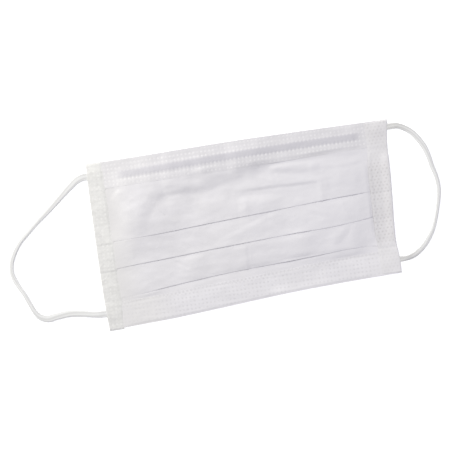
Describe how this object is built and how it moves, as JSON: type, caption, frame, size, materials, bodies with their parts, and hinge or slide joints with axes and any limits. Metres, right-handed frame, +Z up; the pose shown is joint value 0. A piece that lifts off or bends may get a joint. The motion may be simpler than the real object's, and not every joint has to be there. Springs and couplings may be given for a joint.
{
  "type": "pleated face mask with ear loops",
  "caption": "Flat pleated cloth face mask with folded hems, a nose wire, side bands and a round elastic ear loop on each side, lying outer face up.",
  "frame": {"origin": "middle of the mask without its ear loops, on the surface that it lies on", "axes": "+X along the width, +Y towards the nose edge, +Z up, out of the outer face"},
  "size_m": [0.2546, 0.099, 0.0048],
  "materials": {
    "outer_cloth": "white spunbond polypropylene nonwoven, calendered and slightly glossy",
    "hem_cloth": "white spunbond nonwoven, spot-welded in rows",
    "band_cloth": "soft white nonwoven strip, spot-welded",
    "nose_wire": "plastic-coated flat wire",
    "elastic_cord": "white round knitted elastic"
  },
  "bodies": {
    "root": {"pleated_panel": "outer_cloth", "top_hem": "hem_cloth", "bottom_hem": "hem_cloth", "side_band_left": "band_cloth", "side_band_right": "band_cloth", "nose_wire": "nose_wire", "ear_loop_left": "elastic_cord", "ear_loop_right": "elastic_cord"}
  },
  "joints": []
}
